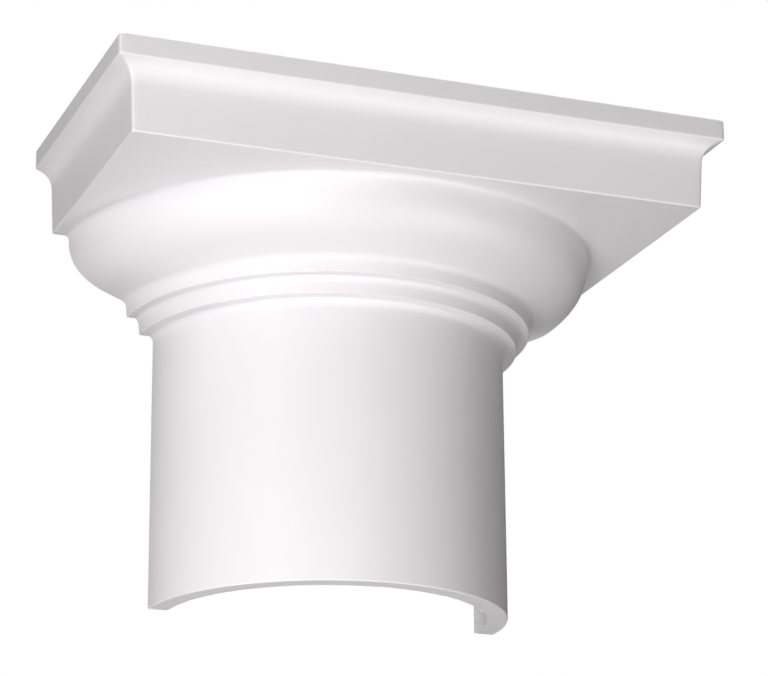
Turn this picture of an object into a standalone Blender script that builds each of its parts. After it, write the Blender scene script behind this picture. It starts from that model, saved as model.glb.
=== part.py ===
"""Half-round Doric capital for an engaged half column, moulded in one piece of hard foam.

A half-square abacus (fillet, cavetto and fascia on its three free sides) sits on a half-round
echinus with two annulets, which runs down into a plain neck. The neck is a thin half shell:
a half-round recess, open below and at the back, reaches up to a plate under the top.

Metres, +Z up. The wall plane is the flat back, at +Y; the front looks towards -Y. The origin is
under the middle of the whole piece, at the level of the neck's rim.
"""

from math import cos, pi, radians, sin, sqrt, tan

import bmesh
import bpy
from mathutils import Matrix

# Overall sizes
ABACUS_WIDTH = 0.375
TOTAL_HEIGHT = 0.281

# Abacus, downwards from the top
ABACUS_HEIGHT = 0.0533
FILLET_HEIGHT = 0.0126
CAVETTO_HEIGHT = 0.0134
CAVETTO_SLOPE = radians(15)
FASCIA_INSET = 0.0104
FASCIA_BATTER = 0.0013

# Neck, and the hollow behind it
NECK_RADIUS = 0.111
NECK_WALL = 0.013
TOP_PLATE = 0.040
RECESS_DRAFT = 0.0015
RECESS_FILLET = 0.004

# Annulets: how far each tip stands out past what is below it, and lies below what is above it
LOWER_TIP_PROJECTION = 0.0087
LOWER_TIP_DROP = 0.0104
UPPER_TIP_PROJECTION = 0.0081
UPPER_TIP_DROP = 0.0107
TIP_BATTER = 0.0005
COVE_WIDTH = 0.0024
COVE_HEIGHT = 0.0046
COVE_SHOULDER = 0.0016

# Echinus: a straight foot above the annulets, a full belly, and a quirk under the soffit
FOOT_PROJECTION = 0.0038
FOOT_SHARE = 0.235
FOOT_SLOPE = radians(21)
ECHINUS_HEIGHT = 0.0372
QUIRK_WIDTH = 0.0026
QUIRK_HEIGHT = 0.0034
QUIRK_SHOULDER = 0.0008
SOFFIT_MARGIN = 0.0079

# How finely the curves are cut into faces
TURNS = 120
CURVE_STEPS = 5
BELLY_STEPS = 10

# How far a cutter or a root runs past the surface that it crosses
OVERRUN = 0.010
SOFFIT_ROOT = 0.0006

MERGE = 0.00001
FOAM_WHITE = (0.86, 0.855, 0.85, 1.0)
FOAM_ROUGHNESS = 0.5

# The abacus is half a square, so the neck's axis lies in the wall plane
ABACUS_DEPTH = ABACUS_WIDTH / 2
WALL_Y = ABACUS_DEPTH / 2
SOFFIT = TOTAL_HEIGHT - ABACUS_HEIGHT

# Each radius follows from the neck outwards, and the belly's from the soffit's edge inwards
LOWER_TIP_RADIUS = NECK_RADIUS + LOWER_TIP_PROJECTION
UPPER_TIP_RADIUS = LOWER_TIP_RADIUS + UPPER_TIP_PROJECTION
FOOT_RADIUS = UPPER_TIP_RADIUS + FOOT_PROJECTION
QUIRK_RADIUS = ABACUS_DEPTH - FASCIA_INSET - FASCIA_BATTER - SOFFIT_MARGIN
BELLY_RADIUS = QUIRK_RADIUS - QUIRK_WIDTH


def clear_scene():
    for obj in list(bpy.data.objects):
        bpy.data.objects.remove(obj, do_unlink=True)


def new_collection(name):
    collection = bpy.data.collections.new(name)
    bpy.context.scene.collection.children.link(collection)
    return collection


def foam_material():
    material = bpy.data.materials.new("primed_polyurethane_foam")
    material.use_nodes = True
    shader = material.node_tree.nodes["Principled BSDF"]
    shader.inputs["Base Color"].default_value = FOAM_WHITE
    shader.inputs["Roughness"].default_value = FOAM_ROUGHNESS
    shader.inputs["Metallic"].default_value = 0.0
    return material


def sweep(start, corner, end, steps):
    """Points after start on the curve that leaves start towards corner and reaches end from it."""
    points = []
    for step in range(1, steps + 1):
        t = step / steps
        a, b, c = (1 - t) ** 2, 2 * t * (1 - t), t ** 2
        points.append(tuple(a * p + b * q + c * r for p, q, r in zip(start, corner, end)))
    return points


def abacus_profile():
    """Half width and height of the abacus, from the middle of its top to the middle of its soffit."""
    half = ABACUS_WIDTH / 2
    fillet_foot = (half, TOTAL_HEIGHT - FILLET_HEIGHT)
    fascia_top = (half - FASCIA_INSET, fillet_foot[1] - CAVETTO_HEIGHT)
    cavetto_turn = (fascia_top[0], fillet_foot[1] - FASCIA_INSET * tan(CAVETTO_SLOPE))
    points = [(0, TOTAL_HEIGHT), (half, TOTAL_HEIGHT), fillet_foot]
    points += sweep(fillet_foot, cavetto_turn, fascia_top, CURVE_STEPS)
    points += [(fascia_top[0] - FASCIA_BATTER, SOFFIT), (0, SOFFIT)]
    return points


def annulet(above, tip_radius, drop):
    """A small cove below the point above, then a nearly upright face down to a sharp tip."""
    cove_end = (tip_radius + TIP_BATTER, above[1] - COVE_HEIGHT)
    cove_turn = (cove_end[0], above[1] - COVE_SHOULDER)
    return sweep(above, cove_turn, cove_end, CURVE_STEPS) + [(tip_radius, above[1] - drop)]


def turned_profile():
    """Radius and height of the echinus, the annulets and the neck, from top to bottom."""
    foot = (FOOT_RADIUS, SOFFIT - ECHINUS_HEIGHT)
    overhang = BELLY_RADIUS - FOOT_RADIUS
    belly_top = (BELLY_RADIUS, SOFFIT - QUIRK_HEIGHT)
    belly_turn = (BELLY_RADIUS, foot[1] + overhang * tan(FOOT_SLOPE))
    belly_end = (foot[0] + overhang * FOOT_SHARE, foot[1] + overhang * FOOT_SHARE * tan(FOOT_SLOPE))
    quirk_top = (QUIRK_RADIUS, SOFFIT + SOFFIT_ROOT)
    points = [(0, SOFFIT + OVERRUN), (QUIRK_RADIUS, SOFFIT + OVERRUN), quirk_top]
    points += sweep(quirk_top, (BELLY_RADIUS, SOFFIT - QUIRK_SHOULDER), belly_top, CURVE_STEPS)
    points += sweep(belly_top, belly_turn, belly_end, BELLY_STEPS) + [foot]
    points += annulet(foot, UPPER_TIP_RADIUS, UPPER_TIP_DROP)
    upper_ledge = (LOWER_TIP_RADIUS + TIP_BATTER + COVE_WIDTH, points[-1][1])
    points += [upper_ledge] + annulet(upper_ledge, LOWER_TIP_RADIUS, LOWER_TIP_DROP)
    lower_ledge = (NECK_RADIUS + COVE_WIDTH, points[-1][1])
    neck_top = (NECK_RADIUS, lower_ledge[1] - COVE_HEIGHT)
    neck_turn = (NECK_RADIUS, lower_ledge[1] - COVE_SHOULDER)
    points += [lower_ledge] + sweep(lower_ledge, neck_turn, neck_top, CURVE_STEPS)
    points += [(NECK_RADIUS, 0), (0, 0)]
    return points


def recess_profile():
    """Radius and height of the hollow, from its rounded top to below the rim."""
    rim = NECK_RADIUS - NECK_WALL
    roof = TOTAL_HEIGHT - TOP_PLATE
    top = rim - RECESS_DRAFT
    slant = RECESS_DRAFT / roof
    points = [(0, roof), (top - RECESS_FILLET, roof)]
    for step in range(1, CURVE_STEPS + 1):
        angle = pi / 2 * step / CURVE_STEPS
        points.append((top - RECESS_FILLET * (1 - sin(angle)), roof - RECESS_FILLET * (1 - cos(angle))))
    points += [(rim + slant * OVERRUN, -OVERRUN), (0, -OVERRUN)]
    return points


def turned(name, profile, steps, smooth, turn):
    """A solid turned about the neck's axis from a profile that starts and ends on it."""
    shape = bmesh.new()
    points = [shape.verts.new((radius, 0, height)) for radius, height in profile]
    for upper, lower in zip(points, points[1:]):
        shape.edges.new((upper, lower))
    mesh = bpy.data.meshes.new(name)
    shape.to_mesh(mesh)
    shape.free()
    obj = bpy.data.objects.new(name, mesh)
    obj.location = (0, WALL_Y, 0)
    obj.rotation_euler = (0, 0, turn)
    screw = obj.modifiers.new("turning", "SCREW")
    screw.axis = "Z"
    screw.angle = 2 * pi
    screw.steps = steps
    screw.render_steps = steps
    screw.use_smooth_shade = smooth
    screw.use_merge_vertices = True
    screw.merge_threshold = MERGE
    return obj


def wall_side():
    """Everything behind the wall plane, as a block to cut away."""
    width = ABACUS_WIDTH + 2 * OVERRUN
    depth = ABACUS_DEPTH + 2 * OVERRUN
    height = TOTAL_HEIGHT + 2 * OVERRUN
    shape = bmesh.new()
    place = Matrix.Translation((0, WALL_Y + depth / 2, TOTAL_HEIGHT / 2))
    bmesh.ops.create_cube(shape, size=1.0, matrix=place @ Matrix.Diagonal((width, depth, height, 1)))
    mesh = bpy.data.meshes.new("wall_side")
    shape.to_mesh(mesh)
    shape.free()
    return bpy.data.objects.new("wall_side", mesh)


def hide_as_guide(obj, collection):
    collection.objects.link(obj)
    obj.display_type = "WIRE"
    obj.hide_render = True


def boolean(obj, other, operation):
    modifier = obj.modifiers.new(operation.lower() + "_" + other.name, "BOOLEAN")
    modifier.operation = operation
    modifier.solver = "EXACT"
    modifier.object = other


def build():
    clear_scene()
    parts = new_collection("half_round_doric_capital")
    guides = new_collection("guides")

    # Four steps turn the abacus profile into a square with mitred corners, half a side to each axis
    diagonal = sqrt(2)
    square = [(half * diagonal, height) for half, height in abacus_profile()]
    capital = turned("half_capital", square, 4, False, pi / 4)
    parts.objects.link(capital)
    capital.data.materials.append(foam_material())

    # Half a step of turn keeps the round faces' edges off the wall plane
    half_step = pi / TURNS
    shaft = turned("echinus_and_neck", turned_profile(), TURNS, True, half_step)
    recess = turned("recess", recess_profile(), TURNS, True, half_step)
    behind = wall_side()
    for guide in (shaft, recess, behind):
        hide_as_guide(guide, guides)
    boolean(capital, shaft, "UNION")
    boolean(capital, recess, "DIFFERENCE")
    boolean(capital, behind, "DIFFERENCE")


build()
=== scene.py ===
"""Looks of a half-round Doric capital: the whole moulding as one fine mesh with its small
roundings, its primed finish, and a plain pale studio seen from below and from the left.

Metres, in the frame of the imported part: +Z up, the wall plane at +Y, the front towards -Y.
"""

from math import cos, pi, radians, sin

import bmesh
import bpy
from bpy.props import FloatProperty, FloatVectorProperty, IntProperty, PointerProperty
from mathutils import Matrix, Vector


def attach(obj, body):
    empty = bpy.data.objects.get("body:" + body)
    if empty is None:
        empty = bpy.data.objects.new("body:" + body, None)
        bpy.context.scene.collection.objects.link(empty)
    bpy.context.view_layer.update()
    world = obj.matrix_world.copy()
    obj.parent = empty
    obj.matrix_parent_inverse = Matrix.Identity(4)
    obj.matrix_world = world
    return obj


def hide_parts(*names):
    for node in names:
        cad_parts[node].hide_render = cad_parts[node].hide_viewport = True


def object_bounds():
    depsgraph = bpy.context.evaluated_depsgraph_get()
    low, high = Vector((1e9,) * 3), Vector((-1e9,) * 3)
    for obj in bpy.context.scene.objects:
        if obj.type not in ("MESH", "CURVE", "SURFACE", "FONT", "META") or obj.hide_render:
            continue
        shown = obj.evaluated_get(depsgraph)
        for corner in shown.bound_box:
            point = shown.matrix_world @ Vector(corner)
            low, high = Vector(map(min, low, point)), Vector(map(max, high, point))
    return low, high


bl_info = {
    "name": "Half-round Doric capital",
    "version": (1, 0, 0),
    "blender": (4, 5, 0),
    "location": "3D View > Sidebar > Capital",
    "description": "Makes a half-round Doric capital in primed foam, with a studio around it",
    "category": "Add Mesh",
}

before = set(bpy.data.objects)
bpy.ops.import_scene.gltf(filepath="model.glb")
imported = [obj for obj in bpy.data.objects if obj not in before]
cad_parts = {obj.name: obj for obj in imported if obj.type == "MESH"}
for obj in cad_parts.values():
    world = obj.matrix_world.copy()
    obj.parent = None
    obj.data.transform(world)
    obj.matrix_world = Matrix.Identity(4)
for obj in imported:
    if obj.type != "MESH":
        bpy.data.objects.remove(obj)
CAD_LOW, CAD_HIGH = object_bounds()

CAD_NODE = "half_capital"

# Points closer than this are one point
MERGE = 0.00001


def linear(code):
    """An sRGB hex colour as linear red, green, blue and alpha."""
    channels = [int(code[place:place + 2], 16) / 255 for place in (1, 3, 5)]
    return [c / 12.92 if c <= 0.04045 else ((c + 0.055) / 1.055) ** 2.4 for c in channels] + [1.0]


def length(name, default, description):
    """A size that the panel shows as a length."""
    return FloatProperty(
        name=name, default=default, description=description, min=0.0, unit="LENGTH", precision=4
    )


def steps(name, default, least, description):
    """A number of rows or columns of faces."""
    return IntProperty(name=name, default=default, min=least, description=description)


def colour(name, default, description):
    """A colour that the panel shows as a swatch."""
    return FloatVectorProperty(
        name=name, default=linear(default), description=description, subtype="COLOR", size=4, min=0.0, max=1.0
    )


def angle(name, degrees, description):
    """A turn that the panel shows in degrees."""
    return FloatProperty(name=name, default=radians(degrees), description=description, subtype="ANGLE")


def power(name, default, description):
    """The strength of a lamp in watts."""
    return FloatProperty(name=name, default=default, description=description, min=0.0, unit="POWER")


class CapitalSizes(bpy.types.PropertyGroup):
    """The moulding's section, from the top down, and the hollow behind it."""

    abacus_width: length("Abacus width", CAD_HIGH.x - CAD_LOW.x, "Across the front of the square slab")
    total_height: length("Total height", CAD_HIGH.z, "From the neck's rim to the top")
    wall_plane: length("Wall plane", CAD_HIGH.y, "How far behind the origin the flat back lies")
    abacus_height: length("Abacus height", 0.0533, "From the top to the soffit")
    fillet_height: length("Fillet height", 0.0126, "The plain band at the top of the abacus")
    cavetto_height: length("Cavetto height", 0.0134, "The hollow below the fillet")
    cavetto_shoulder: length("Cavetto shoulder", 0.0028, "How far the hollow falls before it turns down")
    fascia_inset: length("Fascia inset", 0.0104, "How far the fascia lies behind the fillet")
    fascia_batter: length("Fascia batter", 0.0013, "How far the fascia leans in at its foot")
    soffit_margin: length("Soffit margin", 0.0079, "From the fascia's foot to the quirk, at its nearest")
    quirk_width: length("Quirk width", 0.0026, "The small hollow between soffit and echinus")
    quirk_height: length("Quirk height", 0.0034, "From the soffit to the top of the belly")
    quirk_shoulder: length("Quirk shoulder", 0.0008, "How far the quirk falls before it turns down")
    echinus_height: length("Echinus height", 0.0372, "From the soffit to the first annulet")
    foot_projection: length("Foot projection", 0.0038, "The echinus past the upper annulet's tip")
    foot_share: FloatProperty(
        name="Foot share", default=0.235, min=0.0, max=1.0,
        description="Part of the overhang that is a straight slope",
    )
    foot_slope: angle("Foot slope", 21, "Rise of the straight slope")
    upper_tip_projection: length("Upper tip projection", 0.0081, "The upper annulet past the lower one")
    upper_tip_drop: length("Upper tip drop", 0.0107, "From the echinus to the upper annulet's tip")
    lower_tip_projection: length("Lower tip projection", 0.0087, "The lower annulet past the neck")
    lower_tip_drop: length("Lower tip drop", 0.0104, "From one annulet's tip to the next")
    tip_batter: length("Tip batter", 0.0005, "How far an annulet's face leans in at its tip")
    cove_width: length("Cove width", 0.0024, "The small hollow above a face, across")
    cove_height: length("Cove height", 0.0046, "The small hollow above a face, down")
    cove_shoulder: length("Cove shoulder", 0.0016, "How far that hollow falls before it turns down")
    neck_radius: length("Neck radius", 0.111, "Outside of the neck")
    neck_wall: length("Neck wall", 0.013, "Thickness of the neck at its rim")
    top_plate: length("Top plate", 0.040, "Foam left over the hollow")
    recess_draft: length("Recess draft", 0.0015, "How much the hollow narrows up to its roof")
    recess_fillet: length("Recess fillet", 0.004, "Rounding where the hollow meets its roof")
    corner_rounding: length("Corner rounding", 0.0020, "Radius on the abacus's upright corners")
    abacus_rounding: length("Abacus rounding", 0.0012, "Radius on the abacus's level edges")
    annulet_rounding: length("Annulet rounding", 0.0006, "Radius on the annulets' edges")
    rim_rounding: length("Rim rounding", 0.0008, "Radius on the edges of the neck's rim")


class CapitalMesh(bpy.types.PropertyGroup):
    """How finely the surface is cut into faces."""

    quarter_steps: steps("Steps to a mitre", 40, 4, "Columns in an eighth turn")
    curve_steps: steps("Curve steps", 14, 2, "Rows in each curve of the section")
    rounding_steps: steps("Rounding steps", 4, 1, "Rows in each small rounding")


class CapitalFinish(bpy.types.PropertyGroup):
    """Colours of the primer and of the bare foam."""

    primer: colour("Primer", "#ece8ea", "Sprayed primer on everything that shows")
    primer_thin: colour("Thin primer", "#e7e3e5", "Primer where the coat is thinner")
    # Painted light: a whiter colour on the rim's lowest face, standing in for light from below
    rim_painted_light: colour("Painted rim light", "#f8f4f6", "Painted light from below: a whiter colour on the rim's face")
    foam: colour("Foam skin", "#dfdbd3", "Bare skin of the foam in the hollow and on the back")
    # Painted shade: the darker colour put into the foam's open cells
    pore_painted_shade: colour("Painted shade in pores", "#b9b3a8", "Painted shade in the skin's open cells")


class CapitalStage(bpy.types.PropertyGroup):
    """The surroundings: the floor, the lights and the camera."""

    key: power("Key light", 10.7, "A main soft light, from the front left and below")
    near: power("Near light", 2.3, "A closer one beside it, which falls off towards the top right")
    below: power("Light from below", 2.1, "One from far below on the left, on the neck's rim")
    level: power("Level light", 14.5, "A level one from the front left")
    front: power("Front light", 9.0, "A level one from the front")
    right: power("Right light", 13.3, "One from the right and well below")
    left: power("Left light", 4.2, "A faint one from the left, a little above")
    back: power("Back light", 70.0, "Lights the flat back and the hollow, from the right")
    top: FloatProperty(
        name="Top light", default=2.6, min=0.0, description="From straight above, on the top and the floor"
    )
    ambient: FloatProperty(name="Ambient light", default=0.02, min=0.0, description="Light from all round")
    ambient_colour: colour("Ambient colour", "#ffffff", "Colour of the light from all round")
    backdrop: colour("Backdrop", "#ffffff", "What the camera sees behind the capital")
    floor: colour("Floor", "#e9e7e6", "Floor paint")
    floor_worn: colour("Worn floor", "#e4e2e1", "Floor paint where it is a little darker")
    floor_level: FloatProperty(
        name="Floor level", default=-2.1, unit="LENGTH", description="Far down, to leave room for the camera"
    )
    target: FloatVectorProperty(
        name="Target", default=(0.04009, 0.09375, 0.18534), subtype="TRANSLATION", unit="LENGTH",
        description="The point that the camera and the lights face",
    )
    camera_azimuth: angle("Camera azimuth", 21.036, "How far the camera is turned to the right")
    camera_elevation: angle("Camera elevation", 18.158, "How far the camera looks up")
    camera_roll: angle("Camera roll", -0.411, "How far the camera leans to the left")
    camera_distance: length("Camera distance", 1.78009, "From the camera to its target")
    camera_lens: FloatProperty(name="Camera lens", default=132.53, unit="CAMERA", description="Focal length")

    def target_point(self):
        return Vector(self.target)


# What the outline needs besides the sizes: a name, then the sum that gives it
WORKINGS = (
    ("half width", "DIVIDE", "abacus_width", 2.0),
    ("fillet foot", "SUBTRACT", "total_height", "fillet_height"),
    ("cavetto turn", "SUBTRACT", "fillet foot", "cavetto_shoulder"),
    ("cavetto foot", "SUBTRACT", "fillet foot", "cavetto_height"),
    ("fascia line", "SUBTRACT", "half width", "fascia_inset"),
    ("soffit", "SUBTRACT", "total_height", "abacus_height"),
    ("soffit line", "SUBTRACT", "fascia line", "fascia_batter"),
    ("quirk line", "SUBTRACT", "soffit line", "soffit_margin"),
    ("quirk turn", "SUBTRACT", "soffit", "quirk_shoulder"),
    ("belly line", "SUBTRACT", "quirk line", "quirk_width"),
    ("belly top", "SUBTRACT", "soffit", "quirk_height"),
    ("foot", "SUBTRACT", "soffit", "echinus_height"),
    ("lower tip line", "ADD", "neck_radius", "lower_tip_projection"),
    ("upper tip line", "ADD", "lower tip line", "upper_tip_projection"),
    ("foot line", "ADD", "upper tip line", "foot_projection"),
    ("overhang", "SUBTRACT", "belly line", "foot line"),
    ("slope", "TANGENT", "foot_slope", 0.0),
    ("belly rise", "MULTIPLY", "overhang", "slope"),
    ("belly turn", "ADD", "foot", "belly rise"),
    ("foot width", "MULTIPLY", "overhang", "foot_share"),
    ("foot rise", "MULTIPLY", "foot width", "slope"),
    ("foot edge", "ADD", "foot line", "foot width"),
    ("foot top", "ADD", "foot", "foot rise"),
    ("upper cove line", "ADD", "upper tip line", "tip_batter"),
    ("upper cove turn", "SUBTRACT", "foot", "cove_shoulder"),
    ("upper cove foot", "SUBTRACT", "foot", "cove_height"),
    ("upper tip", "SUBTRACT", "foot", "upper_tip_drop"),
    ("lower cove line", "ADD", "lower tip line", "tip_batter"),
    ("upper ledge line", "ADD", "lower cove line", "cove_width"),
    ("lower cove turn", "SUBTRACT", "upper tip", "cove_shoulder"),
    ("lower cove foot", "SUBTRACT", "upper tip", "cove_height"),
    ("lower tip", "SUBTRACT", "upper tip", "lower_tip_drop"),
    ("lower ledge line", "ADD", "neck_radius", "cove_width"),
    ("neck turn", "SUBTRACT", "lower tip", "cove_shoulder"),
    ("neck top", "SUBTRACT", "lower tip", "cove_height"),
    ("hollow rim line", "SUBTRACT", "neck_radius", "neck_wall"),
    ("hollow line", "SUBTRACT", "hollow rim line", "recess_draft"),
    ("roof", "SUBTRACT", "total_height", "top_plate"),
    ("roof line", "SUBTRACT", "hollow line", "recess_fillet"),
    ("roof foot", "SUBTRACT", "roof", "recess_fillet"),
)

# The section from the middle of the top, down the outside and up the hollow to its roof.
# Each stretch has the point that a curve turns towards, or None where it is straight, and its end.
# A point is how far it stands out from the neck's axis, and its height.
OUTLINE_START = (0.0, "total_height")
OUTLINE = (
    (None, ("half width", "total_height")),
    (None, ("half width", "fillet foot")),
    (("fascia line", "cavetto turn"), ("fascia line", "cavetto foot")),
    (None, ("soffit line", "soffit")),
    (None, ("quirk line", "soffit")),
    (("belly line", "quirk turn"), ("belly line", "belly top")),
    (("belly line", "belly turn"), ("foot edge", "foot top")),
    (None, ("foot line", "foot")),
    (("upper cove line", "upper cove turn"), ("upper cove line", "upper cove foot")),
    (None, ("upper tip line", "upper tip")),
    (None, ("upper ledge line", "upper tip")),
    (("lower cove line", "lower cove turn"), ("lower cove line", "lower cove foot")),
    (None, ("lower tip line", "lower tip")),
    (None, ("lower ledge line", "lower tip")),
    (("neck_radius", "neck turn"), ("neck_radius", "neck top")),
    (None, ("neck_radius", 0.0)),
    (None, ("hollow rim line", 0.0)),
    (None, ("hollow line", "roof foot")),
    (("hollow line", "roof"), ("roof line", "roof")),
    (None, (0.0, "roof")),
)

# An outward bend in the outline sharper than this is an edge, and is rounded
EDGE_ANGLE = radians(25)
# Rows of faces in the rounding between the outside and the flat back
END_STEPS = 5
# Columns of faces crowd towards a mitre by this power of how far they are from it
CROWDING = 2.2
# A square with rounded corners is x^n + y^n = 1, where n is this times half its side over the radius
SQUARENESS = 2.37
# The rows are square from this part of the soffit's margin outwards, and round inside it
ROUND_SHARE = 0.25

# Where each point of the sweep goes. A column is a turn about the neck's axis, from one end of the
# wall plane to the other, with a mitre at each eighth; a row is a point of the outline.
SWEEP = (
    ("row", "FLOORED_MODULO", "index", "rows"),
    ("columns before", "DIVIDE", "index", "rows"),
    ("column", "FLOOR", "columns before", 0.0),
    ("half columns", "MULTIPLY", "quarter_steps", 2.0),
    ("all columns", "MULTIPLY", "quarter_steps", 4.0),
    ("from first", "SUBTRACT", "column", END_STEPS),
    ("not before first", "MAXIMUM", "from first", 0.0),
    ("swept", "MINIMUM", "not before first", "all columns"),
    ("turned", "DIVIDE", "swept", "half columns"),
    ("turn", "SUBTRACT", "turned", 1.0),
    ("side", "SIGN", "turn", 0.0),
    ("half turn", "ABSOLUTE", "turn", 0.0),
    ("quarter turns", "MULTIPLY", "half turn", 2.0),
    ("past mitre", "SUBTRACT", "quarter turns", 1.0),
    ("mitre side", "SIGN", "past mitre", 0.0),
    ("off mitre", "ABSOLUTE", "past mitre", 0.0),
    ("crowded", "POWER", "off mitre", CROWDING),
    ("eighth", "MULTIPLY", "crowded", "mitre side"),
    ("behind mitre", "MAXIMUM", "eighth", 0.0),
    ("end angle", "ARCTAN2", "rounding", "line"),
    ("end share", "DIVIDE", "end angle", pi / 4),
    ("cut back", "MULTIPLY", "behind mitre", "end share"),
    ("eighth kept", "SUBTRACT", "eighth", "cut back"),
    ("eighths", "ADD", "eighth kept", 1.0),
    ("angle", "MULTIPLY", "eighths", pi / 4),
    ("sine", "SINE", "angle", 0.0),
    ("cosine", "COSINE", "angle", 0.0),
    ("longer", "MAXIMUM", "sine", "cosine"),
    ("shorter", "MINIMUM", "sine", "cosine"),
    ("ratio", "DIVIDE", "shorter", "longer"),
    ("sharpness", "DIVIDE", "half width", "corner_rounding"),
    ("exponent", "MULTIPLY", "sharpness", SQUARENESS),
    ("power", "POWER", "ratio", "exponent"),
    ("power sum", "ADD", "power", 1.0),
    ("root", "DIVIDE", -1.0, "exponent"),
    ("corner", "POWER", "power sum", "root"),
    ("square reach", "DIVIDE", "corner", "longer"),
    ("square excess", "SUBTRACT", "square reach", 1.0),
    ("margin", "MULTIPLY", "soffit_margin", ROUND_SHARE),
    ("square from", "ADD", "quirk line", "margin"),
    ("is square", "GREATER_THAN", "line", "square from"),
    ("excess", "MULTIPLY", "square excess", "is square"),
    ("reach", "ADD", "excess", 1.0),
    ("stand", "MULTIPLY", "line", "reach"),
    ("swept out", "MULTIPLY", "stand", "sine"),
    ("swept forward", "MULTIPLY", "stand", "cosine"),
    ("forward", "MAXIMUM", "swept forward", "rounding"),
    ("before first", "MULTIPLY", "from first", -1.0),
    ("past last", "SUBTRACT", "from first", "all columns"),
    ("outside", "MAXIMUM", "before first", "past last"),
    ("end steps", "MAXIMUM", "outside", 0.0),
    ("end turn", "MULTIPLY", "end steps", pi / 2 / END_STEPS),
    ("end cosine", "COSINE", "end turn", 0.0),
    ("end rise", "SUBTRACT", 1.0, "end cosine"),
    ("inset", "MULTIPLY", "rounding", "end rise"),
    ("end sine", "SINE", "end turn", 0.0),
    ("back", "MULTIPLY", "rounding", "end sine"),
    ("inset out", "MULTIPLY", "inset", "tangent up"),
    ("out", "ADD", "swept out", "inset out"),
    ("x", "MULTIPLY", "out", "side"),
    ("y at front", "SUBTRACT", "wall_plane", "forward"),
    ("y", "ADD", "y at front", "back"),
    ("inset up", "MULTIPLY", "inset", "tangent out"),
    ("z", "SUBTRACT", "level", "inset up"),
)

# Which faces are bare foam: those within the hollow's rim and under its roof, and those of the back
BARE = (
    ("behind", "SUBTRACT", "wall_plane", "face y"),
    ("across squared", "MULTIPLY", "face x", "face x"),
    ("behind squared", "MULTIPLY", "behind", "behind"),
    ("squares", "ADD", "across squared", "behind squared"),
    ("face line", "SQRT", "squares", 0.0),
    ("is within", "LESS_THAN", "face line", "hollow rim line"),
    ("over roof", "ADD", "roof", MERGE),
    ("is under", "LESS_THAN", "face z", "over roof"),
    ("is hollow", "MULTIPLY", "is within", "is under"),
    ("is back", "LESS_THAN", "behind", MERGE),
    ("is bare", "MAXIMUM", "is hollow", "is back"),
)
# The kind of socket that each kind of setting gets in the tree
SOCKETS = {"FLOAT": "NodeSocketFloat", "INT": "NodeSocketInt"}
# An edge with fewer faces at it than this is open
CLOSED_SIDES = 1.5
# How strongly a vertex takes its shading from the largest face at it
FLAT_WEIGHT = 50

# Primer: patches where the coat and its gloss vary, slow waves in the foam under it, and orange peel
COAT_PATCH = 0.060
GLOSS_PATCH = 0.009
PRIMER_ROUGHNESS = (0.42, 0.50)
WAVE_SIZE = 0.040
WAVE_DEPTH = 0.00006
PEEL_SIZE = 0.0014
PEEL_DEPTH = 0.000006
# The rim's face painted whiter, as painted light from below: full up to the first height, gone by the second
RIM_PAINTED_LIGHT = (0.0001, 0.0003)
# Bare foam: open cells, pitted and darkened with painted shade, and a fine grain in the skin between them
PORE_SPACING = 0.0022
PORE_RADIUS = (0.0002, 0.0005)
PORE_DEPTH = 0.0002
SKIN_GRAIN = 0.0008
SKIN_DEPTH = 0.00003
FOAM_ROUGHNESS = (0.68, 0.80)
# Primer dust on the bare foam: full up to the first height, gone by the second, with an uneven edge
DUST = (0.030, 0.110)
DUST_PATCH = 0.035
DUST_DRIFT = 0.040
# Nearly all of a noise lies between these
NOISE_SPAN = (0.3, 0.7)

# The colour sockets of a Mix node, which share their names with its other sockets
MIX_A, MIX_B, MIX_RESULT = 6, 7, 2

FLOOR_REACH = 30.0
FLOOR_CELLS = 8
FLOOR_PATCH = 1.2
FLOOR_ROUGHNESS = 0.8

# Each soft lamp: its setting, the way it shines in degrees, how far off it is and how wide, in metres
LIGHTS = (
    ("key", 45.0, 30.0, 2.2, 0.8),
    ("near", 45.0, 35.0, 1.0, 0.5),
    ("below", 45.0, 65.0, 1.2, 0.5),
    ("level", 50.0, 0.0, 2.2, 0.8),
    ("front", 10.0, 0.0, 2.2, 0.8),
    ("right", -50.0, 45.0, 2.2, 0.8),
    ("left", 95.0, -20.0, 2.2, 0.8),
    ("back", -160.0, -5.0, 2.5, 0.8),
)
# How wide the light from above looks
TOP_ANGLE = radians(4)


def add_node(tree, kind, inputs=(), **settings):
    """Adds a node, sets its settings, and gives each input a value or links it to one or more outputs."""
    node = tree.nodes.new(kind)
    for name, value in settings.items():
        setattr(node, name, value)
    for socket, value in dict(inputs).items():
        if isinstance(value, bpy.types.NodeSocket):
            tree.links.new(value, node.inputs[socket])
        elif isinstance(value, list):
            for output in value:
                tree.links.new(output, node.inputs[socket])
        else:
            node.inputs[socket].default_value = value
    return node


def work_out(tree, values, sums):
    """Adds each sum to the tree. Its two parts are numbers, or names of values that are there by then."""
    for name, operation, first, second in sums:
        parts = {0: values.get(first, first), 1: values.get(second, second)}
        values[name] = add_node(tree, "ShaderNodeMath", parts, operation=operation).outputs[0]


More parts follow.
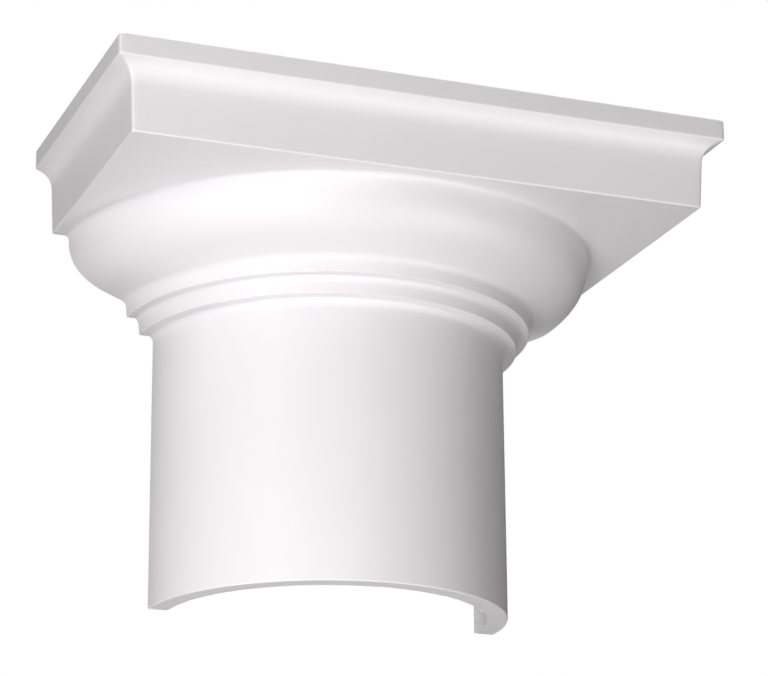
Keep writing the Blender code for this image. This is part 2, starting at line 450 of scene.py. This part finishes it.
def outline_nodes(tree, values):
    """The section as one curve in the XZ plane, with its edges rounded."""
    def point(place):
        across, up = (values.get(part, part) for part in place)
        return add_node(tree, "ShaderNodeCombineXYZ", {"X": across, "Z": up}).outputs["Vector"]

    start = point(OUTLINE_START)
    stretches = []
    for turn, end in OUTLINE:
        ends = {"Start": start, "End": point(end)}
        if turn:
            curve = {"Middle": point(turn), "Resolution": values["curve_steps"]}
            stretch = add_node(tree, "GeometryNodeCurveQuadraticBezier", ends | curve)
        else:
            stretch = add_node(tree, "GeometryNodeCurvePrimitiveLine", ends)
        stretches.append(stretch.outputs["Curve"])
        start = ends["End"]
    joined = add_node(tree, "GeometryNodeJoinGeometry", {"Geometry": stretches})
    wire = add_node(tree, "GeometryNodeCurveToMesh", {"Curve": joined.outputs[0]})
    welded = add_node(tree, "GeometryNodeMergeByDistance", {"Geometry": wire.outputs[0], "Distance": MERGE})
    wound = add_node(tree, "GeometryNodeMeshToCurve", {"Mesh": welded.outputs[0]})
    # A welded curve starts at its last point, so it is turned round to run from the top again
    sharp = add_node(tree, "GeometryNodeReverseCurve", {"Curve": wound.outputs[0]})

    # An edge is a point where the outline bends sharply and outwards between the points beside it
    here = add_node(tree, "GeometryNodeInputPosition").outputs[0]
    index = add_node(tree, "GeometryNodeInputIndex").outputs[0]
    ways = []
    for step in (-1, 1):
        there = add_node(tree, "ShaderNodeMath", {0: index, 1: step}, operation="ADD").outputs[0]
        next_point = add_node(
            tree, "GeometryNodeFieldAtIndex", {"Index": there, "Value": here}, data_type="FLOAT_VECTOR"
        ).outputs[0]
        way = add_node(tree, "ShaderNodeVectorMath", {0: next_point, 1: here}, operation="SUBTRACT")
        ways.append(add_node(tree, "ShaderNodeVectorMath", {0: way.outputs[0]}, operation="NORMALIZE"))
    both = {place: way.outputs[0] for place, way in enumerate(ways)}
    cross = add_node(tree, "ShaderNodeVectorMath", both, operation="CROSS_PRODUCT").outputs[0]
    bend = add_node(tree, "ShaderNodeSeparateXYZ", {0: cross}).outputs["Y"]
    edge = add_node(tree, "ShaderNodeMath", {0: bend, 1: -sin(EDGE_ANGLE)}, operation="LESS_THAN").outputs[0]
    level = add_node(tree, "ShaderNodeSeparateXYZ", {0: here}).outputs["Z"]
    radius = rounding_nodes(tree, values, level)
    rounding = add_node(tree, "ShaderNodeMath", {0: edge, 1: radius}, operation="MULTIPLY").outputs[0]
    return add_node(
        tree, "GeometryNodeFilletCurve",
        {"Curve": sharp.outputs["Curve"], "Count": values["rounding_steps"], "Radius": rounding}, mode="POLY",
    ).outputs["Curve"]


def rounding_nodes(tree, values, level):
    """The edges' radius at a height: the abacus's, the annulets', then growing to the rim's down the neck."""
    radius = values["abacus_rounding"]
    changes = (("soffit", "belly top", "annulet_rounding"), ("neck top", 0.0, "rim_rounding"))
    for start, end, name in changes:
        radius = add_node(tree, "ShaderNodeMapRange", {
            "Value": level, "From Min": values[start], "From Max": values.get(end, end),
            "To Min": radius, "To Max": values[name],
        }).outputs["Result"]
    return radius


def sweep_nodes(tree, values, outline):
    """The outline swept round half a turn, square above and round below, and rounded into the wall plane."""
    size = add_node(tree, "GeometryNodeAttributeDomainSize", {"Geometry": outline}, component="CURVE")
    values["rows"] = size.outputs["Point Count"]
    values["index"] = add_node(tree, "GeometryNodeInputIndex").outputs[0]
    work_out(tree, values, SWEEP[:1])
    sampled = {}
    for name, kind in (("place", "GeometryNodeInputPosition"), ("tangent", "GeometryNodeInputTangent")):
        field = add_node(tree, kind).outputs[0]
        sample = add_node(
            tree, "GeometryNodeSampleIndex", {"Geometry": outline, "Value": field, "Index": values["row"]},
            data_type="FLOAT_VECTOR",
        )
        sampled[name] = add_node(tree, "ShaderNodeSeparateXYZ", {0: sample.outputs[0]}).outputs
    values["line"], values["level"] = sampled["place"]["X"], sampled["place"]["Z"]
    values["tangent out"], values["tangent up"] = sampled["tangent"]["X"], sampled["tangent"]["Z"]
    values["rounding"] = rounding_nodes(tree, values, values["level"])
    work_out(tree, values, SWEEP[1:])
    work_out(tree, values, (("column count", "ADD", "all columns", 2 * END_STEPS + 1),))
    grid = add_node(
        tree, "GeometryNodeMeshGrid", {"Vertices X": values["column count"], "Vertices Y": values["rows"]}
    )
    place = add_node(tree, "ShaderNodeCombineXYZ", {"X": values["x"], "Y": values["y"], "Z": values["z"]})
    swept = add_node(
        tree, "GeometryNodeSetPosition", {"Geometry": grid.outputs["Mesh"], "Position": place.outputs[0]}
    )
    closed = add_node(
        tree, "GeometryNodeMergeByDistance", {"Geometry": swept.outputs[0], "Distance": MERGE}
    )
    return add_node(tree, "GeometryNodeFlipFaces", {"Mesh": closed.outputs[0]}).outputs[0]


def back_nodes(tree, values, shell):
    """The flat back: one face inside the shell's open edge, laid flat to be filled and put back."""
    sides = add_node(tree, "GeometryNodeInputMeshEdgeNeighbors").outputs["Face Count"]
    is_open = add_node(tree, "ShaderNodeMath", {0: sides, 1: CLOSED_SIDES}, operation="LESS_THAN").outputs[0]
    loop = add_node(tree, "GeometryNodeMeshToCurve", {"Mesh": shell, "Selection": is_open}).outputs[0]
    flat = add_node(tree, "GeometryNodeTransform", {"Geometry": loop, "Rotation": (pi / 2, 0, 0)})
    filled = add_node(tree, "GeometryNodeFillCurve", {"Curve": flat.outputs[0]}, mode="NGONS")
    wall = add_node(tree, "ShaderNodeCombineXYZ", {"Y": values["wall_plane"]}).outputs[0]
    upright = {"Geometry": filled.outputs[0], "Rotation": (-pi / 2, 0, 0), "Translation": wall}
    return add_node(tree, "GeometryNodeTransform", upright).outputs[0]


def bare_faces(tree, values):
    """True for the faces that get no primer: in the hollow, and the flat back."""
    here = add_node(tree, "GeometryNodeInputPosition").outputs[0]
    middle = add_node(tree, "ShaderNodeSeparateXYZ", {0: here}).outputs
    values["face x"], values["face y"], values["face z"] = middle["X"], middle["Y"], middle["Z"]
    work_out(tree, values, BARE)
    return values["is bare"]


def capital_tree(groups, primed, bare):
    """The tree that makes the whole capital. Each size is an input with its own name."""
    tree = bpy.data.node_groups.new("half_round_capital", "GeometryNodeTree")
    tree.interface.new_socket("Geometry", in_out="OUTPUT", socket_type="NodeSocketGeometry")
    sizes = {key: group.bl_rna.properties[key] for group in groups for key in group.__annotations__}
    for size in sizes.values():
        tree.interface.new_socket(size.name, in_out="INPUT", socket_type=SOCKETS[size.type])
    inputs = add_node(tree, "NodeGroupInput").outputs
    values = {key: inputs[size.name] for key, size in sizes.items()}
    work_out(tree, values, WORKINGS)
    shell = sweep_nodes(tree, values, outline_nodes(tree, values))
    whole = add_node(tree, "GeometryNodeJoinGeometry", {"Geometry": [shell, back_nodes(tree, values, shell)]})
    joined = add_node(tree, "GeometryNodeMergeByDistance", {"Geometry": whole.outputs[0], "Distance": MERGE})
    smooth = add_node(tree, "GeometryNodeSetShadeSmooth", {"Geometry": joined.outputs[0]})
    real = add_node(tree, "GeometryNodeRealizeInstances", {"Geometry": smooth.outputs[0]})
    coated = add_node(tree, "GeometryNodeSetMaterial", {"Geometry": real.outputs[0], "Material": primed})
    uncoated = {"Geometry": coated.outputs[0], "Selection": bare_faces(tree, values), "Material": bare}
    finished = add_node(tree, "GeometryNodeSetMaterial", uncoated)
    add_node(tree, "NodeGroupOutput", {0: finished.outputs[0]})
    return tree


def primer_material(finish):
    """Sprayed primer over moulded foam: nearly white, even and softly lit, with a faint orange peel
    that only shows close up, a coat that is a little thinner in broad patches, and the rim's face
    painted whiter as painted light from below."""
    material = bpy.data.materials.new("sprayed_primer_on_polyurethane")
    material.use_nodes = True
    tree = material.node_tree
    place = add_node(tree, "ShaderNodeTexCoord").outputs["Object"]
    coat = add_node(tree, "ShaderNodeTexNoise", {"Vector": place, "Scale": 1 / COAT_PATCH, "Detail": 3.0})
    tint = add_node(
        tree, "ShaderNodeMix", {"Factor": coat.outputs[0], MIX_A: finish.primer, MIX_B: finish.primer_thin},
        data_type="RGBA",
    )
    height = add_node(tree, "ShaderNodeSeparateXYZ", {0: place}).outputs["Z"]
    # Painted light: the rim's lowest face is painted whiter, standing in for light from below
    rim_light = add_node(tree, "ShaderNodeMapRange", {
        "Value": height, "From Min": RIM_PAINTED_LIGHT[0], "From Max": RIM_PAINTED_LIGHT[1], "To Min": 1.0, "To Max": 0.0,
    })
    coated = add_node(
        tree, "ShaderNodeMix",
        {"Factor": rim_light.outputs["Result"], MIX_A: tint.outputs[MIX_RESULT], MIX_B: finish.rim_painted_light},
        data_type="RGBA",
    )
    gloss = add_node(tree, "ShaderNodeTexNoise", {"Vector": place, "Scale": 1 / GLOSS_PATCH, "Detail": 4.0})
    rough = add_node(tree, "ShaderNodeMapRange", {
        "Value": gloss.outputs[0], "From Min": NOISE_SPAN[0], "From Max": NOISE_SPAN[1],
        "To Min": PRIMER_ROUGHNESS[0], "To Max": PRIMER_ROUGHNESS[1],
    })
    wave = add_node(tree, "ShaderNodeTexNoise", {"Vector": place, "Scale": 1 / WAVE_SIZE, "Detail": 1.0})
    waved = add_node(tree, "ShaderNodeBump", {"Height": wave.outputs[0], "Distance": WAVE_DEPTH})
    peel = add_node(tree, "ShaderNodeTexNoise", {"Vector": place, "Scale": 1 / PEEL_SIZE, "Detail": 2.0})
    bumps = {"Height": peel.outputs[0], "Distance": PEEL_DEPTH, "Normal": waved.outputs[0]}
    peeled = add_node(tree, "ShaderNodeBump", bumps)
    shader = tree.nodes["Principled BSDF"]
    tree.links.new(coated.outputs[MIX_RESULT], shader.inputs["Base Color"])
    tree.links.new(rough.outputs["Result"], shader.inputs["Roughness"])
    tree.links.new(peeled.outputs[0], shader.inputs["Normal"])
    return material


def foam_material(finish):
    """The self-skinned face of moulded polyurethane foam: creamier and more matt than the primer, with
    small open cells scattered over it, pitted and darkened with painted shade, and dusted with primer that
    blew in past the rim."""
    material = bpy.data.materials.new("self_skinned_polyurethane_foam")
    material.use_nodes = True
    tree = material.node_tree
    place = add_node(tree, "ShaderNodeTexCoord").outputs["Object"]
    height = add_node(tree, "ShaderNodeSeparateXYZ", {0: place}).outputs["Z"]
    cloud = add_node(tree, "ShaderNodeTexNoise", {"Vector": place, "Scale": 1 / DUST_PATCH, "Detail": 3.0})
    drift = add_node(tree, "ShaderNodeMath", {0: cloud.outputs[0], 1: DUST_DRIFT}, operation="MULTIPLY")
    drifted = add_node(tree, "ShaderNodeMath", {0: height, 1: drift.outputs[0]}, operation="SUBTRACT")
    dust = add_node(tree, "ShaderNodeMapRange", {
        "Value": drifted.outputs[0], "From Min": DUST[0], "From Max": DUST[1], "To Min": 1.0, "To Max": 0.0,
    })
    cells = add_node(tree, "ShaderNodeTexVoronoi", {"Vector": place, "Scale": 1 / PORE_SPACING})
    pore = add_node(tree, "ShaderNodeMapRange", {
        "Value": cells.outputs["Distance"], "From Min": PORE_RADIUS[0] / PORE_SPACING,
        "From Max": PORE_RADIUS[1] / PORE_SPACING, "To Min": 1.0, "To Max": 0.0,
    })
    # Painted shade: the open cells are darkened towards the pore colour, as well as pitted by the bump below
    tint = add_node(
        tree, "ShaderNodeMix",
        {"Factor": pore.outputs["Result"], MIX_A: finish.foam, MIX_B: finish.pore_painted_shade},
        data_type="RGBA",
    )
    dusted = add_node(
        tree, "ShaderNodeMix",
        {"Factor": dust.outputs["Result"], MIX_A: tint.outputs[MIX_RESULT], MIX_B: finish.primer},
        data_type="RGBA",
    )
    skin = add_node(tree, "ShaderNodeTexNoise", {"Vector": place, "Scale": 1 / SKIN_GRAIN, "Detail": 4.0})
    grain = add_node(tree, "ShaderNodeBump", {"Height": skin.outputs[0], "Distance": SKIN_DEPTH})
    pitted = add_node(
        tree, "ShaderNodeBump",
        {"Height": pore.outputs["Result"], "Distance": PORE_DEPTH, "Normal": grain.outputs[0]}, invert=True,
    )
    rough = add_node(tree, "ShaderNodeMapRange", {
        "Value": skin.outputs[0], "From Min": NOISE_SPAN[0], "From Max": NOISE_SPAN[1],
        "To Min": FOAM_ROUGHNESS[0], "To Max": FOAM_ROUGHNESS[1],
    })
    shader = tree.nodes["Principled BSDF"]
    tree.links.new(dusted.outputs[MIX_RESULT], shader.inputs["Base Color"])
    tree.links.new(rough.outputs["Result"], shader.inputs["Roughness"])
    tree.links.new(pitted.outputs[0], shader.inputs["Normal"])
    return material


def floor_material(stage):
    """Matt pale floor paint: even, with a slight change of tone over a metre or so."""
    material = bpy.data.materials.new("matt_floor_paint")
    material.use_nodes = True
    tree = material.node_tree
    place = add_node(tree, "ShaderNodeTexCoord").outputs["Object"]
    tone = add_node(tree, "ShaderNodeTexNoise", {"Vector": place, "Scale": 1 / FLOOR_PATCH, "Detail": 2.0})
    tint = add_node(
        tree, "ShaderNodeMix", {"Factor": tone.outputs[0], MIX_A: stage.floor, MIX_B: stage.floor_worn},
        data_type="RGBA",
    )
    shader = tree.nodes["Principled BSDF"]
    tree.links.new(tint.outputs[MIX_RESULT], shader.inputs["Base Color"])
    shader.inputs["Roughness"].default_value = FLOOR_ROUGHNESS
    return material


def direction(azimuth, elevation):
    """The way somebody looks who faces +Y, turns to the right by the azimuth and up by the elevation."""
    return Vector((sin(azimuth) * cos(elevation), cos(azimuth) * cos(elevation), sin(elevation)))


def aimed(place, way, roll):
    """The matrix that puts a camera or a light in a place, looking a way, and rolls it to the left."""
    turn = way.to_track_quat("-Z", "Y").to_matrix().to_4x4()
    return Matrix.Translation(place) @ turn @ Matrix.Rotation(roll, 4, "Z")


class MakeCapital(bpy.types.Operator):
    """Make the half-round capital as one fine mesh, in place of the plain solid"""

    bl_idname = "capital.make_capital"
    bl_label = "Make capital"

    def execute(self, context):
        scene = context.scene
        groups = (scene.capital_sizes, scene.capital_mesh)
        primed = primer_material(scene.capital_finish)
        bare = foam_material(scene.capital_finish)
        maker = bpy.data.objects.new("maker", bpy.data.meshes.new("maker"))
        scene.collection.objects.link(maker)
        nodes = maker.modifiers.new("section swept round", "NODES")
        nodes.node_group = capital_tree(groups, primed, bare)
        sockets = [s for s in nodes.node_group.interface.items_tree if s.in_out == "INPUT"]
        chosen = [getattr(group, key) for group in groups for key in group.__annotations__]
        for socket, value in zip(sockets, chosen, strict=True):
            nodes[socket.identifier] = value
        maker.modifiers.new("flats kept flat", "WEIGHTED_NORMAL").weight = FLAT_WEIGHT
        made = maker.evaluated_get(context.evaluated_depsgraph_get())
        mesh = bpy.data.meshes.new_from_object(made)
        bpy.data.objects.remove(maker)
        if not mesh.polygons:
            raise RuntimeError("the capital's tree made no faces")
        # The grid brings an empty first slot, which no face uses
        mesh.materials.pop(index=0)
        mesh.name = "primed_capital"
        capital = bpy.data.objects.new("primed_capital", mesh)
        scene.collection.objects.link(capital)
        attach(capital, "root")
        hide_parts(CAD_NODE)
        return {"FINISHED"}


class SetStage(bpy.types.Operator):
    """Set up the pale floor, the white surroundings, the soft lights and the camera"""

    bl_idname = "capital.set_stage"
    bl_label = "Set stage"

    def execute(self, context):
        scene = context.scene
        stage = scene.capital_stage
        self.add_floor(scene, stage)
        self.add_world(scene, stage)
        for name, azimuth, elevation, distance, size in LIGHTS:
            way = direction(radians(azimuth), radians(elevation))
            lamp = self.add_light(scene, name, "AREA", stage.target_point() - way * distance, way)
            lamp.shape = "DISK"
            lamp.size = size
            lamp.energy = getattr(stage, name)
        lamp = self.add_light(scene, "top", "SUN", stage.target_point(), Vector((0, 0, -1)))
        lamp.angle = TOP_ANGLE
        lamp.energy = stage.top
        self.add_camera(scene, stage)
        scene.view_settings.view_transform = "Standard"
        return {"FINISHED"}

    def add_floor(self, scene, stage):
        shape = bmesh.new()
        bmesh.ops.create_grid(
            shape, x_segments=FLOOR_CELLS, y_segments=FLOOR_CELLS, size=FLOOR_REACH,
            matrix=Matrix.Translation((0, 0, stage.floor_level)),
        )
        mesh = bpy.data.meshes.new("floor")
        shape.to_mesh(mesh)
        shape.free()
        mesh.materials.append(floor_material(stage))
        floor = bpy.data.objects.new("floor", mesh)
        # The floor is there to be seen: bounced light comes from the lamps, so a change of its colour is safe
        floor.visible_diffuse = False
        floor.visible_glossy = False
        scene.collection.objects.link(floor)

    def add_world(self, scene, stage):
        world = bpy.data.worlds.new("white surroundings")
        world.use_nodes = True
        tree = world.node_tree
        tree.nodes.clear()
        ray = add_node(tree, "ShaderNodeLightPath").outputs["Is Camera Ray"]
        shades = [
            add_node(tree, "ShaderNodeBackground", {"Color": shade, "Strength": strength}).outputs[0]
            for shade, strength in ((stage.ambient_colour, stage.ambient), (stage.backdrop, 1.0))
        ]
        seen = add_node(tree, "ShaderNodeMixShader", {0: ray, 1: shades[0], 2: shades[1]})
        add_node(tree, "ShaderNodeOutputWorld", {"Surface": seen.outputs[0]})
        scene.world = world

    def add_light(self, scene, name, kind, place, way):
        lamp = bpy.data.lights.new(name, kind)
        light = bpy.data.objects.new(name, lamp)
        light.matrix_world = aimed(place, way, 0.0)
        light.visible_camera = False
        scene.collection.objects.link(light)
        return lamp

    def add_camera(self, scene, stage):
        lens = bpy.data.cameras.new("camera")
        lens.lens = stage.camera_lens
        camera = bpy.data.objects.new("camera", lens)
        way = direction(stage.camera_azimuth, stage.camera_elevation)
        place = stage.target_point() - way * stage.camera_distance
        camera.matrix_world = aimed(place, way, stage.camera_roll)
        scene.collection.objects.link(camera)
        scene.camera = camera


class CapitalPanel(bpy.types.Panel):
    """Lists the pieces that can be made, and the sizes and colours that they are made from"""

    bl_idname = "VIEW3D_PT_capital"
    bl_label = "Half-round capital"
    bl_space_type = "VIEW_3D"
    bl_region_type = "UI"
    bl_category = "Capital"

    def draw(self, context):
        layout = self.layout
        for maker in (MakeCapital, SetStage):
            layout.operator(maker.bl_idname)
        for name in SETTINGS:
            box = layout.box()
            settings = getattr(context.scene, name)
            for key in settings.__annotations__:
                box.prop(settings, key)


SETTINGS = {
    "capital_sizes": CapitalSizes,
    "capital_mesh": CapitalMesh,
    "capital_finish": CapitalFinish,
    "capital_stage": CapitalStage,
}
CLASSES = (*SETTINGS.values(), MakeCapital, SetStage, CapitalPanel)


def register():
    for cls in CLASSES:
        bpy.utils.register_class(cls)
    for name, group in SETTINGS.items():
        setattr(bpy.types.Scene, name, PointerProperty(type=group))


def unregister():
    for name in SETTINGS:
        delattr(bpy.types.Scene, name)
    for cls in reversed(CLASSES):
        bpy.utils.unregister_class(cls)


def main():
    register()
    bpy.ops.capital.make_capital()
    bpy.ops.capital.set_stage()


if __name__ == "__main__":
    main()
